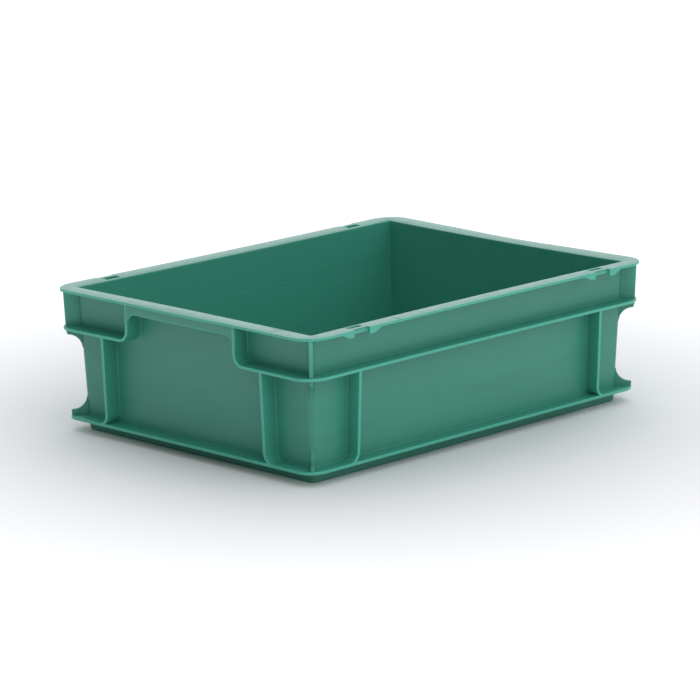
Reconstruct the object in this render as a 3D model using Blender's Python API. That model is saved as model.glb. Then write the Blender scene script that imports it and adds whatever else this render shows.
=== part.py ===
"""A 400 x 300 x 120 mm stacking crate, moulded in one piece from green polypropylene.

The moulding is modelled region by region: the floor panel, the four walls, the rim with its
lid-clip sockets, the horizontal ribs, the upright ribs, the corner plates and the two hand
grips. Each region is one solid, parted from its neighbours by a hairline seam.

Lengths are in metres and +Z is up. The origin is the middle of the base, X runs along the
crate's length and Y along its width. Each side is drawn as if it were the front one, in its
own coordinates: s runs along the side, an inset is the distance in from the rim's outer
plane, and the finished region is then turned about Z to its place.
"""
import math
from collections import namedtuple

import bmesh
import bpy

# Overall size, over the rim
LENGTH = 0.400
WIDTH = 0.300
HEIGHT = 0.120
RIM_CORNER_RADIUS = 0.021
SEAM = 0.0003

# Tub: drafted walls on a floor panel whose edge is rounded off
WALL_THICKNESS = 0.0022
WALL_INSET_TOP = 0.0144
WALL_INSET_BASE = 0.0194
WALL_CORNER_RADIUS = 0.006
FLOOR_THICKNESS = 0.0028
FLOOR_EDGE_ROUNDING = 0.0018

# Rim and the sockets that a lid's clips drop into
RIM_THICKNESS = 0.0024
RIM_WIDTH = 0.0166
SOCKET_FROM_CORNER = 0.0585
SOCKET_HALF_LENGTH = 0.023
SLOT_LENGTH = 0.014
SLOT_WIDTH = 0.0058
SLOT_INSET = 0.0068
NOTCH_HALF_WIDTH = 0.0077
NOTCH_DEPTH = 0.0025
EAR_THICKNESS = 0.0030
EAR_DROP = 0.0035
EAR_FLAT_END = 0.0145
EAR_TAPER_END = 0.0215

# Horizontal ribs
LOW_RIB_BOTTOM = 0.0103
LOW_RIB_TOP = 0.0129
LOW_RIB_INSET = 0.0063
MID_RIB_BOTTOM = 0.0852
MID_RIB_TOP = 0.0879
MID_RIB_INSET = 0.0023

# Upright ribs, each with its foot swept towards the nearest corner
UPRIGHT_FROM_CORNER = 0.0585
UPRIGHT_THICKNESS = 0.0030
UPRIGHT_FOOT_RADIUS = 0.008

# Hand grips on the short sides
GRIP_HALF_WIDTH = 0.0606
FLANK_THICKNESS = 0.0028
FLANK_BEND_RADIUS = 0.008
GRIP_INSET_TOP = 0.0012
SKIRT_THICKNESS = 0.0026
SKIRT_BOTTOM = 0.1086
SKIRT_FILLET = 0.009

# Plates that stand across each corner
CORNER_PLATE_THICKNESS = 0.0033
CORNER_RIB_INSET_TOP = 0.0023
CORNER_RIB_INSET_BOTTOM = 0.0038
GUSSET_RADIUS = 0.0118
LOWER_GUSSET_TOP = 0.029
LOWER_GUSSET_TIP = 0.0037
UPPER_GUSSET_BOTTOM = 0.0683
UPPER_GUSSET_TIP = 0.0045
UPPER_GUSSET_SLANT = 0.0025

ARC_STEPS = 6
BLUNTING = 10      # degrees by which an arc stops short of running out along another face

# side: turn about Z in degrees, half its length, its distance from the centre, and the
# neighbouring sides at its s < 0 and s > 0 ends
Side = namedtuple("Side", "name turn half reach before after")
SIDES = (
    Side("front", 0, LENGTH / 2, WIDTH / 2, "left", "right"),
    Side("right", 90, WIDTH / 2, LENGTH / 2, "front", "back"),
    Side("back", 180, LENGTH / 2, WIDTH / 2, "right", "left"),
    Side("left", 270, WIDTH / 2, LENGTH / 2, "back", "front"),
)
Corner = namedtuple("Corner", "name x y turn")
CORNERS = (
    Corner("front_left", -LENGTH / 2, -WIDTH / 2, 225),
    Corner("front_right", LENGTH / 2, -WIDTH / 2, 315),
    Corner("back_right", LENGTH / 2, WIDTH / 2, 45),
    Corner("back_left", -LENGTH / 2, WIDTH / 2, 135),
)


# Materials

def moulded_plastic(name, colour, roughness):
    material = bpy.data.materials.new(name)
    material.use_nodes = True
    shader = material.node_tree.nodes["Principled BSDF"]
    shader.inputs["Base Color"].default_value = (*colour, 1.0)
    shader.inputs["Roughness"].default_value = roughness
    shader.inputs["Metallic"].default_value = 0.0
    material.diffuse_color = (*colour, 1.0)
    return material


def make_materials():
    return {
        "tub": moulded_plastic("tub_green", (0.030, 0.215, 0.150), 0.42),
        "rim": moulded_plastic("rim_green", (0.045, 0.270, 0.195), 0.36),
        "ribs": moulded_plastic("rib_green", (0.038, 0.245, 0.175), 0.40),
        "grips": moulded_plastic("grip_green", (0.038, 0.240, 0.172), 0.40),
    }


# Outlines

def arc(centre, radius, start, stop, steps=ARC_STEPS):
    """Points on an arc about centre, from the start angle to the stop angle, in degrees."""
    angles = (math.radians(start + (stop - start) * i / steps) for i in range(steps + 1))
    return [(centre[0] + radius * math.cos(a), centre[1] + radius * math.sin(a)) for a in angles]


def wall_inset(z):
    """Inset of the drafted walls' outer face at height z."""
    return WALL_INSET_BASE + (WALL_INSET_TOP - WALL_INSET_BASE) * z / HEIGHT


def slope(z_low, inset_low, z_high, inset_high):
    """An inset that changes evenly with height."""
    return lambda z: inset_low + (inset_high - inset_low) * (z - z_low) / (z_high - z_low)


def round_off(inset):
    """Corner radius of an outline concentric with the rim, at that inset."""
    return RIM_CORNER_RADIUS - inset


def mitred_end(side, inset, radius, direction):
    """Half of a rounded corner, from the corner's diagonal to the straight of the side."""
    x = direction * (side.half - inset - radius - SEAM / math.sqrt(2))
    y = -(side.reach - inset - radius)
    return arc((x, y), radius, 270 + 45 * direction, 270) if radius else [(x, y)]


def run_outline(side, outer, inner, start=None, stop=None):
    """A run along one side, between an outer and an inner (inset, corner radius).
    An end is cut square at start or stop, and is mitred at the corner where that is None."""
    edges = []
    for inset, radius in (outer, inner):
        y = -(side.reach - inset)
        first = mitred_end(side, inset, radius, -1) if start is None else [(start, y)]
        last = mitred_end(side, inset, radius, 1) if stop is None else [(stop, y)]
        edges.append(first + last[::-1])
    return edges[0] + edges[1][::-1]


# Solids

def make_object(name, bm, material, turn, location=(0, 0, 0)):
    bmesh.ops.recalc_face_normals(bm, faces=bm.faces)
    mesh = bpy.data.meshes.new(name)
    bm.to_mesh(mesh)
    bm.free()
    mesh.materials.append(material)
    mesh.shade_smooth()
    mesh.set_sharp_from_angle(angle=math.radians(30))
    obj = bpy.data.objects.new(name, mesh)
    bpy.context.scene.collection.objects.link(obj)
    obj.location = location
    obj.rotation_euler.z = math.radians(turn)
    return obj


def loft(name, rings, material, turn=0, location=(0, 0, 0)):
    """A closed solid through rings of points, which all have the same number of points."""
    bm = bmesh.new()
    loops = [[bm.verts.new(point) for point in ring] for ring in rings]
    count = len(loops[0])
    for lower, upper in zip(loops, loops[1:]):
        for i in range(count):
            j = (i + 1) % count
            bm.faces.new((lower[i], lower[j], upper[j], upper[i]))
    bm.faces.new(loops[0][::-1])
    bm.faces.new(loops[-1])
    return make_object(name, bm, material, turn, location)


def flat_run(name, side, outer, inner, bottom, top, material, start=None, stop=None):
    """A level plate along one side."""
    outline = run_outline(side, outer, inner, start, stop)
    rings = [[(x, y, z) for x, y in outline] for z in (bottom, top)]
    return loft(name, rings, material, side.turn)


def side_plate(name, side, profile, front, back, material):
    """A plate whose (s, z) profile is carried in from the inset front(z) to back(z)."""
    rings = [[(s, inset(z) - side.reach, z) for s, z in profile] for inset in (front, back)]
    return loft(name, rings, material, side.turn)


def corner_plate(name, corner, profile, material):
    """A plate on the corner's diagonal, with a profile of (depth in from the corner, z)."""
    half = CORNER_PLATE_THICKNESS / 2
    rings = [[(-depth, y, z) for depth, z in profile] for y in (-half, half)]
    return loft(name, rings, material, corner.turn, (corner.x, corner.y, 0))


def combine(target, tool, operation):
    """Applies a Boolean of the tool to the target and removes the tool."""
    modifier = target.modifiers.new(operation.lower(), "BOOLEAN")
    modifier.operation = operation
    modifier.solver = "EXACT"
    modifier.object = tool
    graph = bpy.context.evaluated_depsgraph_get()
    mesh = bpy.data.meshes.new_from_object(target.evaluated_get(graph))
    target.modifiers.remove(modifier)
    target.data = mesh
    bpy.data.objects.remove(tool)


# Tub

def floor_ring(inset, z):
    """The floor panel's rounded outline at height z."""
    radius = WALL_CORNER_RADIUS
    points = []
    for corner in CORNERS:
        x = math.copysign(LENGTH / 2 - inset - radius, corner.x)
        y = math.copysign(WIDTH / 2 - inset - radius, corner.y)
        points += arc((x, y), radius, corner.turn - 45, corner.turn + 45)
    return [(x, y, z) for x, y in points]


def make_floor(material):
    rings = []
    for step in range(ARC_STEPS + 1):
        angle = math.radians(90 * step / ARC_STEPS)
        inset = WALL_INSET_BASE + FLOOR_EDGE_ROUNDING * (1 - math.sin(angle))
        rings.append(floor_ring(inset, FLOOR_EDGE_ROUNDING * (1 - math.cos(angle))))
    rings.append(floor_ring(wall_inset(FLOOR_THICKNESS), FLOOR_THICKNESS))
    loft("floor_panel", rings, material)


def make_wall(side, material):
    rings = []
    for z in (FLOOR_THICKNESS + SEAM, HEIGHT - RIM_THICKNESS - SEAM):
        outer = (wall_inset(z), WALL_CORNER_RADIUS)
        inner = (wall_inset(z) + WALL_THICKNESS, 0)
        rings.append([(x, y, z) for x, y in run_outline(side, outer, inner)])
    loft(f"wall_{side.name}", rings, material, side.turn)


# Rim

def rim_run(name, side, material, start=None, stop=None):
    outer = (0, RIM_CORNER_RADIUS)
    inner = (RIM_WIDTH, 0)
    bottom = HEIGHT - RIM_THICKNESS
    return flat_run(name, side, outer, inner, bottom, HEIGHT, material, start, stop)


def ear_profile(socket, direction):
    """The drop-down ear at one side of a socket's notch, together with the lip above it."""
    lip_bottom = HEIGHT - RIM_THICKNESS
    points = (
        (NOTCH_HALF_WIDTH, HEIGHT),
        (NOTCH_HALF_WIDTH, lip_bottom - EAR_DROP),
        (EAR_FLAT_END, lip_bottom - EAR_DROP),
        (EAR_TAPER_END, lip_bottom),
        (SOCKET_HALF_LENGTH, lip_bottom),
        (SOCKET_HALF_LENGTH, HEIGHT),
    )
    return [(socket + direction * s, z) for s, z in points]


def make_socket(name, side, socket, material):
    """A length of rim with a slot for a lid's clip, and a notch between two ears."""
    start, stop = socket - SOCKET_HALF_LENGTH, socket + SOCKET_HALF_LENGTH
    bottom = HEIGHT - RIM_THICKNESS
    plate = flat_run(name, side, (NOTCH_DEPTH, 0), (RIM_WIDTH, 0), bottom, HEIGHT,
                     material, start, stop)
    for direction in (-1, 1):
        ear = side_plate("ear", side, ear_profile(socket, direction),
                         lambda z: 0, lambda z: EAR_THICKNESS, material)
        combine(plate, ear, "UNION")
    slot_start = socket - SLOT_LENGTH / 2
    slot = flat_run("slot", side, (SLOT_INSET, 0), (SLOT_INSET + SLOT_WIDTH, 0),
                    bottom - RIM_THICKNESS, HEIGHT + RIM_THICKNESS,
                    material, slot_start, slot_start + SLOT_LENGTH)
    combine(plate, slot, "DIFFERENCE")


def make_long_rim(side, material):
    socket = side.half - SOCKET_FROM_CORNER
    near, far = socket - SOCKET_HALF_LENGTH - SEAM, socket + SOCKET_HALF_LENGTH + SEAM
    rim_run(f"rim_{side.name}_middle", side, material, -near, near)
    rim_run(f"rim_{side.name}_{side.before}", side, material, stop=-far)
    rim_run(f"rim_{side.name}_{side.after}", side, material, start=far)
    make_socket(f"clip_socket_{side.name}_{side.before}", side, -socket, material)
    make_socket(f"clip_socket_{side.name}_{side.after}", side, socket, material)


# Ribs

def rib_run(name, side, inset, bottom, top, material, start=None, stop=None):
    """A horizontal rib, from its outer edge in to the wall."""
    wall = wall_inset((bottom + top) / 2) - SEAM
    outer, inner = (inset, round_off(inset)), (wall, WALL_CORNER_RADIUS)
    return flat_run(name, side, outer, inner, bottom, top, material, start, stop)


def make_low_rib(side, material):
    rib_run(f"low_rib_{side.name}", side, LOW_RIB_INSET, LOW_RIB_BOTTOM, LOW_RIB_TOP, material)


def make_mid_rib(side, material, grip):
    """The rib below the rim's band. A hand grip interrupts it on the short sides."""
    level = (MID_RIB_INSET, MID_RIB_BOTTOM, MID_RIB_TOP, material)
    name = f"mid_rib_{side.name}"
    if grip:
        rib_run(f"{name}_{side.before}", side, *level, stop=-bend_start() - SEAM)
        rib_run(f"{name}_{side.after}", side, *level, start=bend_start() + SEAM)
    else:
        rib_run(name, side, *level)


def to_wall(z):
    """Where a rib stops short of the wall's outer face."""
    return wall_inset(z) - SEAM


def make_upright(name, side, direction, material):
    """An upright rib between the low and the mid rib, its foot swept towards the corner."""
    near = side.half - UPRIGHT_FROM_CORNER - UPRIGHT_THICKNESS / 2
    far = near + UPRIGHT_THICKNESS
    bottom, top = LOW_RIB_TOP + SEAM, MID_RIB_BOTTOM - SEAM
    centre = (far + UPRIGHT_FOOT_RADIUS, LOW_RIB_TOP + UPRIGHT_FOOT_RADIUS)
    drop = centre[1] - bottom
    outer_radius = UPRIGHT_FOOT_RADIUS + UPRIGHT_THICKNESS
    outer_end = 180 + math.degrees(math.asin(drop / outer_radius))
    inner_end = 180 + math.degrees(math.asin(drop / UPRIGHT_FOOT_RADIUS))
    profile = [(near, top)]
    profile += arc(centre, outer_radius, 180, outer_end)
    profile += arc(centre, UPRIGHT_FOOT_RADIUS, inner_end, 180)
    profile += [(far, top)]
    profile = [(direction * s, z) for s, z in profile]
    front = slope(LOW_RIB_TOP, LOW_RIB_INSET, MID_RIB_BOTTOM, MID_RIB_INSET)
    side_plate(name, side, profile, front, to_wall, material)


# Hand grips

def bend_start():
    """Where the mid rib starts to bend up into a grip's flank."""
    return GRIP_HALF_WIDTH + FLANK_THICKNESS + FLANK_BEND_RADIUS


def grip_face():
    """The front face shared by a grip's skirt and its two flanks."""
    return slope(MID_RIB_BOTTOM, MID_RIB_INSET, HEIGHT - RIM_THICKNESS, GRIP_INSET_TOP)


def make_flank(name, side, direction, material):
    """The mid rib's end, bent up to the rim beside the grip."""
    top = HEIGHT - RIM_THICKNESS - SEAM
    centre = (bend_start(), MID_RIB_TOP + FLANK_BEND_RADIUS)
    outer_radius = centre[1] - MID_RIB_BOTTOM
    profile = [(GRIP_HALF_WIDTH, top)]
    profile += arc(centre, outer_radius, 180, 270)
    profile += arc(centre, FLANK_BEND_RADIUS, 270, 180)
    profile += [(centre[0] - FLANK_BEND_RADIUS, top)]
    profile = [(direction * s, z) for s, z in profile]
    side_plate(name, side, profile, grip_face(), to_wall, material)


def make_skirt(side, material):
    """The plate that the fingers hook behind, hung from the rim between the flanks."""
    half = GRIP_HALF_WIDTH - SEAM
    top = HEIGHT - RIM_THICKNESS - SEAM
    fillet_x, fillet_z = half - SKIRT_FILLET, SKIRT_BOTTOM - SKIRT_FILLET
    profile = [(half, top), (-half, top)]
    profile += arc((-fillet_x, fillet_z), SKIRT_FILLET, 180 - BLUNTING, 90)
    profile += arc((fillet_x, fillet_z), SKIRT_FILLET, 90, BLUNTING)
    face = grip_face()
    side_plate(f"grip_skirt_{side.name}", side, profile, face,
               lambda z: face(z) + SKIRT_THICKNESS, material)


def make_grip(side, material):
    make_skirt(side, material)
    make_flank(f"grip_flank_{side.name}_{side.before}", side, -1, material)
    make_flank(f"grip_flank_{side.name}_{side.after}", side, 1, material)


# Corner plates

def diagonal(inset, radius):
    """Depth along the corner's diagonal of a rounded outline at that inset."""
    return math.sqrt(2) * inset + (math.sqrt(2) - 1) * radius


def wall_depth(z):
    """Depth on the diagonal where a corner plate stops short of the wall."""
    return diagonal(wall_inset(z), WALL_CORNER_RADIUS) - SEAM


def make_corner_rib(corner, material):
    """The plate between the mid rib and the rim."""
    bottom, top = MID_RIB_TOP + SEAM, HEIGHT - RIM_THICKNESS - SEAM
    profile = [
        (diagonal(CORNER_RIB_INSET_BOTTOM, round_off(CORNER_RIB_INSET_BOTTOM)), bottom),
        (diagonal(CORNER_RIB_INSET_TOP, round_off(CORNER_RIB_INSET_TOP)), top),
        (wall_depth(top), top),
        (wall_depth(bottom), bottom),
    ]
    corner_plate(f"corner_rib_{corner.name}", corner, profile, material)


def make_upper_gusset(corner, material):
    """The hollow-faced bracket under the mid rib."""
    top = MID_RIB_BOTTOM - SEAM
    tip = diagonal(MID_RIB_INSET, round_off(MID_RIB_INSET)) + SEAM
    centre = (wall_depth(UPPER_GUSSET_BOTTOM) - GUSSET_RADIUS, UPPER_GUSSET_BOTTOM)
    profile = [(wall_depth(top), top), (tip, top)]
    profile += [(tip + UPPER_GUSSET_SLANT, top - UPPER_GUSSET_TIP)]
    profile += arc(centre, GUSSET_RADIUS, 90, BLUNTING)
    profile += [(wall_depth(UPPER_GUSSET_BOTTOM), UPPER_GUSSET_BOTTOM)]
    corner_plate(f"upper_gusset_{corner.name}", corner, profile, material)


def make_lower_gusset(corner, material):
    """The hollow-faced bracket that stands on the low rib."""
    bottom = LOW_RIB_TOP + SEAM
    tip = diagonal(LOW_RIB_INSET, round_off(LOW_RIB_INSET)) + SEAM
    centre = (wall_depth(LOWER_GUSSET_TOP) - GUSSET_RADIUS, LOWER_GUSSET_TOP)
    profile = [(wall_depth(bottom), bottom), (tip, bottom), (tip, bottom + LOWER_GUSSET_TIP)]
    profile += arc(centre, GUSSET_RADIUS, 270, 360 - BLUNTING)
    profile += [(wall_depth(LOWER_GUSSET_TOP), LOWER_GUSSET_TOP)]
    corner_plate(f"lower_gusset_{corner.name}", corner, profile, material)


# Assembly

def build_crate():
    for obj in list(bpy.data.objects):
        bpy.data.objects.remove(obj, do_unlink=True)
    paint = make_materials()
    make_floor(paint["tub"])
    for side in SIDES:
        short = side.name in ("left", "right")
        make_wall(side, paint["tub"])
        make_low_rib(side, paint["ribs"])
        make_mid_rib(side, paint["ribs"], grip=short)
        make_upright(f"upright_rib_{side.name}_{side.before}", side, -1, paint["ribs"])
        make_upright(f"upright_rib_{side.name}_{side.after}", side, 1, paint["ribs"])
        if short:
            rim_run(f"rim_{side.name}", side, paint["rim"])
            make_grip(side, paint["grips"])
        else:
            make_long_rim(side, paint["rim"])
    for corner in CORNERS:
        make_corner_rib(corner, paint["ribs"])
        make_upper_gusset(corner, paint["ribs"])
        make_lower_gusset(corner, paint["ribs"])


build_crate()
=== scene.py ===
"""The looks of a 400 x 300 x 120 mm stacking crate in moulded green polypropylene.

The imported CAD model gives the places. Its regions are stood for by seamless pieces: the tub,
the rim with its lid-clip sockets, the ribs that run round it, the upright ribs, the corner
plates and the two hand grips. Lengths are in metres and +Z is up.

Each side is drawn as if it were the front one, in its own coordinates: s runs along the side,
and an inset is the distance in from the rim's outer plane. The finished pieces are then moved a
little: the walls to where the real ones stand, and the middle of each side in and its rim down,
as shrinkage and use leave them.
"""

import math
from collections import namedtuple

import bmesh
import bpy
import numpy as np
from mathutils import Matrix, Vector


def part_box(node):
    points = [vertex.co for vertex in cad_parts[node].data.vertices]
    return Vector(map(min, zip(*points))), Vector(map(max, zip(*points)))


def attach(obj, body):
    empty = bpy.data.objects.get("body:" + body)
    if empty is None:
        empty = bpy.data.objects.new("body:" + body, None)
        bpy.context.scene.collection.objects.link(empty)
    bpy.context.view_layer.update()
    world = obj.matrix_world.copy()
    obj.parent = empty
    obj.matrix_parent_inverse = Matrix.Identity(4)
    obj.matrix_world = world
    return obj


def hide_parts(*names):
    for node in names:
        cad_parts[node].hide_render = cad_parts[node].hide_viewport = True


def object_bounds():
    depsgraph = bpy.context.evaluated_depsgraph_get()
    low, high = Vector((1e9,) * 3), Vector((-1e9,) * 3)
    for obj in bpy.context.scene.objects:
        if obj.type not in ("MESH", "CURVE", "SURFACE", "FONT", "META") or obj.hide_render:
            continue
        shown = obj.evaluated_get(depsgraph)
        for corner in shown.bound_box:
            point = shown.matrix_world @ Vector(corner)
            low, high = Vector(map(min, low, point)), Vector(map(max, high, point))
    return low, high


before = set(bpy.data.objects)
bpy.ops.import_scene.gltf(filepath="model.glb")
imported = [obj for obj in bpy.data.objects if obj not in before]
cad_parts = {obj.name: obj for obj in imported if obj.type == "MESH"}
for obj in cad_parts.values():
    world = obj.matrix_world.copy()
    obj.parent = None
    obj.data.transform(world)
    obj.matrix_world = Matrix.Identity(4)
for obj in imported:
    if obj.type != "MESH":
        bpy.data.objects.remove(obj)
cad_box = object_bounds()

# Measures read from the frame
LOWEST, HIGHEST = cad_box
LENGTH = HIGHEST.x - LOWEST.x
WIDTH = HIGHEST.y - LOWEST.y
TOP = HIGHEST.z


def inset_of(node):
    """How far in from the rim's outer plane a node of the front side starts."""
    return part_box(node)[0].y - LOWEST.y


def levels_of(node):
    """The lowest and highest z of a node."""
    low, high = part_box(node)
    return low.z, high.z


LIP_BOTTOM = levels_of("rim_left")[0]
RIM_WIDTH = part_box("rim_left")[1].x - LOWEST.x
LOW_RIB_BOTTOM, LOW_RIB_TOP = levels_of("low_rib_front")
LOW_RIB_MIDDLE = (LOW_RIB_BOTTOM + LOW_RIB_TOP) / 2
LOW_RIB_INSET = inset_of("low_rib_front")
MID_RIB_BOTTOM, MID_RIB_TOP = levels_of("mid_rib_front")
MID_RIB_MIDDLE = (MID_RIB_BOTTOM + MID_RIB_TOP) / 2
MID_RIB_INSET = inset_of("mid_rib_front")
WALL_TOP = levels_of("wall_front")[1]
WALL_INSET_TOP = inset_of("wall_front")
FLOOR_TOP = levels_of("floor_panel")[1]
WALL_INSET_LOW = inset_of("floor_panel")
SOCKET_LOW, SOCKET_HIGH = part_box("clip_socket_front_right")
SOCKET_S = (SOCKET_LOW.x + SOCKET_HIGH.x) / 2
EAR_BOTTOM = SOCKET_LOW.z
UPRIGHT_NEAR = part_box("upright_rib_front_right")[0].x - LENGTH / 2
FLANK_LOW, FLANK_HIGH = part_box("grip_flank_left_back")
GRIP_HALF_WIDTH = FLANK_LOW.y
BEND_START = FLANK_HIGH.y
GRIP_INSET_TOP = FLANK_LOW.x - LOWEST.x
SKIRT_FOOT = levels_of("grip_skirt_left")[0]

# The tub
WALL_THICKNESS = 0.0020
WALL_CORNER_RADIUS = 0.006
INNER_CORNER_RADIUS = 0.0009
FOOT_ROUNDING = 0.0018
FLOOR_FILLET = 0.0025
FOOT_WIDTH = 0.011         # of the flat ring that the crate stands on
HOLLOW_DEPTH = 0.0006      # of the floor's underside within that ring
HOLLOW_STEP = 0.001        # the width of the step up into the hollow
HOLLOW_BAND = 0.020        # from the ring to the face in the middle of the underside
FLOOR_BAND = 0.030         # from the walls to the face in the middle of the floor
DEEP_RADIUS = 0.004        # corner radius of the outlines under and on the floor
STUB_BOTTOM = TOP - 0.006  # where the rim's piece joins the tub's

# The rim
RIM_CORNER_RADIUS = 0.021
LIP_TOP_ROUNDING = 0.0007
LIP_BOTTOM_ROUNDING = 0.0005
INNER_EDGE_ROUNDING = 0.0010
OUTER_ZONE = 0.0092        # the part of the rim's width that is concentric with its corners
RIM_CREST = 0.006          # inset of the highest line along the rim
RIM_CURVE = 9.0            # how fast the rim's top falls away from its crest, per metre
RIM_TOP_INSETS = (0.0024, 0.0042, RIM_CREST, 0.0076, OUTER_ZONE, 0.0110, 0.0135, 0.0146)
ROOT_SPREAD = 0.5          # how much the root fillet under the lip widens its corner radius

# The ribs, the hand grips and the corner plates
ROOT_FILLET = 0.0008
EMBED = 0.001              # how far a rib runs on into the wall
INTO_LIP = 0.0008          # how far a rib runs up into the rim
RIB_EDGE_ROUNDING = 0.00065
UPRIGHT_THICKNESS = 0.0030
UPRIGHT_FOOT_RADIUS = 0.008
UPRIGHT_TUCK = 0.0001      # keeps the end of an upright's foot within the low rib
FOOT_ROOT_SHARE = 0.8      # of the root fillet, at that end
FLANK_THICKNESS = 0.0028
FLANK_BEND_RADIUS = 0.008
SKIRT_THICKNESS = 0.0026
SKIRT_FILLET = 0.009
SKIRT_BOTTOM = SKIRT_FOOT + SKIRT_FILLET * 0.985
SKIRT_INTO_LIP = 0.0007
SKIRT_PROUD = 0.00002      # how far its ends stand over the flanks' front edges
SKIRT_EDGE_BAND = 0.0022
SKIRT_ROUNDING = 0.0008
CORNER_PLATE_THICKNESS = 0.0033

# How far the middle of each side is drawn in, its rim is drawn down, and the rim's outer edge
# drops over the hand grips
BOW_LONG = 0.0022
BOW_SHORT = 0.0025
BOW_START = 0.5            # the share of the way out from the middle where the bow begins
BOW_RISE = 2.4             # how fast it grows from there
SAG_LONG = 0.00005
SAG_SHORT = 0.00037
SAG_BOTTOM = 0.08          # the sag grows from this height, over the next stretch
SAG_HEIGHT = 0.04
CROWN_DROP = 0.0008
CROWN_HALF_LENGTH = 0.075
CROWN_WIDTH = 0.012
CROWN_REACH = 0.03         # how far in from the short sides the drop over the grips goes

# The short walls stand a little further in than the CAD's, and the long ones further out. The
# shift grows from the ribs' fronts to the walls, and dies away on the floor.
SHORT_WALL_SHIFT = 0.0011
LONG_WALL_SHIFT = -0.0005
CORNER_PLATE_SHIFT = 0.0009
SHIFT_START = 0.008
SHIFT_RISE = 0.0055
SHIFT_END = 0.040
SHIFT_FALL = 0.016

# Sink marks inside the walls, where the ribs run behind them
SINK_DEPTH = 0.00014
SINK_HALF_WIDTH = 0.0013
SINK_SHARES = (-1, -0.5, 0, 0.5, 1)

# How finely things are drawn
ARC_STEPS = 4
CORNER_STEPS = 12
WALL_STEPS = 8
BEND_STEPS = 8
INNER_EDGE_STEPS = 5
RIB_ARC_STEPS = 3
FLANK_STEPS = 5
UPRIGHT_STEPS = 7
SKIRT_STEPS = 8
FILLET_STEPS = 10
ROUNDING_STEPS = 3
SPACING = 0.014            # between the cross-sections along a straight
STRAIGHT_END = 0.027       # where the straights stop short of the corners
CORNER_GAP = 0.001         # the least space between a straight's end and its corner
CLOSE = 0.0002             # near enough to count as on an edge or a face

Side = namedtuple("Side", "name turn half reach before after")
SIDES = (
    Side("front", 0, LENGTH / 2, WIDTH / 2, "left", "right"),
    Side("right", 90, WIDTH / 2, LENGTH / 2, "front", "back"),
    Side("back", 180, LENGTH / 2, WIDTH / 2, "right", "left"),
    Side("left", 270, WIDTH / 2, LENGTH / 2, "back", "front"),
)
SIDE = {side.name: side for side in SIDES}
CORNERS = ("front_right", "back_right", "back_left", "front_left")

# A cross-section's place: on a side's straight at s and z, where its thickness runs along
# (along_s, along_z), or in the corner at the side's far end where angle isn't None.
Station = namedtuple("Station", "side s z along_s along_z angle")


# Outlines and sections

def arc(centre, radius, start, stop, steps=ARC_STEPS):
    """Points on an arc about centre, from the start angle to the stop angle, in degrees."""
    angles = (math.radians(start + (stop - start) * i / steps) for i in range(steps + 1))
    return [(centre[0] + radius * math.cos(a), centre[1] + radius * math.sin(a)) for a in angles]


def blend(a, b, share):
    return a + (b - a) * share


def wall_inset(z):
    """Inset of the drafted walls' outer face at height z."""
    share = (z - FLOOR_TOP) / (WALL_TOP - FLOOR_TOP)
    return blend(WALL_INSET_LOW, WALL_INSET_TOP, share)


def slope(z_low, inset_low, z_high, inset_high):
    """An inset that changes evenly with height."""
    return lambda z: blend(inset_low, inset_high, (z - z_low) / (z_high - z_low))


grip_face = slope(MID_RIB_BOTTOM, MID_RIB_INSET, LIP_BOTTOM, GRIP_INSET_TOP)
upright_face = slope(LOW_RIB_TOP, LOW_RIB_INSET, MID_RIB_BOTTOM, MID_RIB_INSET)


def level_face(inset):
    return lambda z: inset


def rib_radius(inset, face, wall):
    """Corner radius of a rib's outline, from its edge at face in to the wall."""
    share = (inset - face) / (wall - face)
    return blend(RIM_CORNER_RADIUS - face, WALL_CORNER_RADIUS, share)


def place(station, inset, radius, z):
    """The point on a rounded outline at that station, inset and height. The straights of an
    outline that lies deep inside are drawn together, to stay clear of its corners."""
    side = station.side
    if station.angle is None:
        straight = side.half - inset - radius - CORNER_GAP
        share = min(1.0, straight / (side.half - STRAIGHT_END))
        x, y = station.s * share, inset - side.reach
    else:
        x = side.half - inset - radius + radius * math.cos(station.angle)
        y = inset + radius - side.reach + radius * math.sin(station.angle)
    return turned(side, x, y, z)


def turned(side, x, y, z):
    angle = math.radians(side.turn)
    cos, sin = math.cos(angle), math.sin(angle)
    return (x * cos - y * sin, x * sin + y * cos, z)


def straight_stations(side, start, stop, z=0.0):
    count = max(1, round(abs(stop - start) / SPACING))
    places = [blend(start, stop, i / count) for i in range(count + 1)]
    return [Station(side, s, z, 0.0, 1.0, None) for s in places]


def corner_stations(side, z=0.0):
    """Round the corner at the side's far end."""
    angles = [math.radians(270 + 90 * i / CORNER_STEPS) for i in range(CORNER_STEPS + 1)]
    return [Station(side, 0.0, z, 0.0, 1.0, angle) for angle in angles]


def ring_stations():
    stations = []
    for side in SIDES:
        end = side.half - STRAIGHT_END
        stations += straight_stations(side, -end, end)
        stations += corner_stations(side)
    return stations


# Meshes

PREFIX = "moulded_"                  # tells a piece from the CAD node that it stands for
BEVEL_WEIGHT = "bevel_weight_edge"   # the name that Blender knows the layer by
SHARP = math.radians(35)             # the least angle at which an edge is rounded
SMOOTH_ANGLE = math.radians(38)      # the greatest at which it is shaded smoothly
LARGE_FACE_WEIGHT = 70


def new_object(name, bm):
    bmesh.ops.recalc_face_normals(bm, faces=bm.faces)
    mesh = bpy.data.meshes.new(PREFIX + name)
    bm.to_mesh(mesh)
    bm.free()
    obj = bpy.data.objects.new(PREFIX + name, mesh)
    bpy.context.scene.collection.objects.link(obj)
    return obj


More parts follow.
